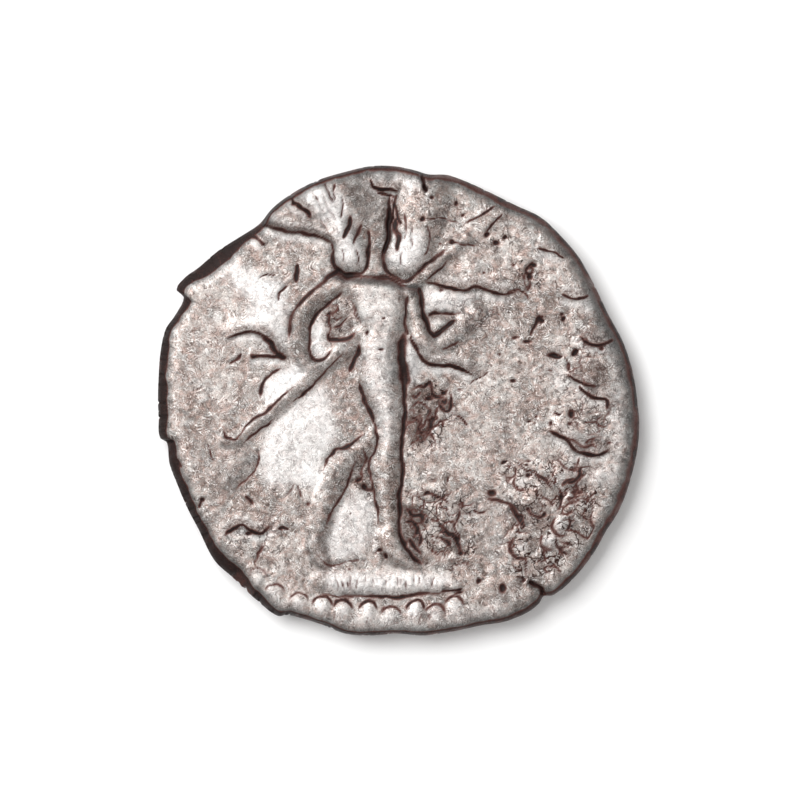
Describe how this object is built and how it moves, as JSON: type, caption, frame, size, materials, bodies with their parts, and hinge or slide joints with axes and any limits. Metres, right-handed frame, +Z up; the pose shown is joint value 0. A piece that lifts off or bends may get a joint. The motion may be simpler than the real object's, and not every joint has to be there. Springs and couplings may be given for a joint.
{
  "type": "coin",
  "caption": "Worn ancient silver coin with a striding nude figure holding a spear on one face and a laureate head in profile on the other, on a split and uneven flan.",
  "frame": {"origin": "centre of the coin's outline, on the plane it rests on", "axes": "+Z up through the thickness, out of the face with the figure; +Y towards the top of the figure"},
  "size_m": [0.0184, 0.018, 0.0017],
  "materials": {
    "silver": "worn silver, dull on the field, with dark brown patina in the hollows and on the edge"
  },
  "bodies": {
    "root": {"coin": "silver"}
  },
  "joints": []
}
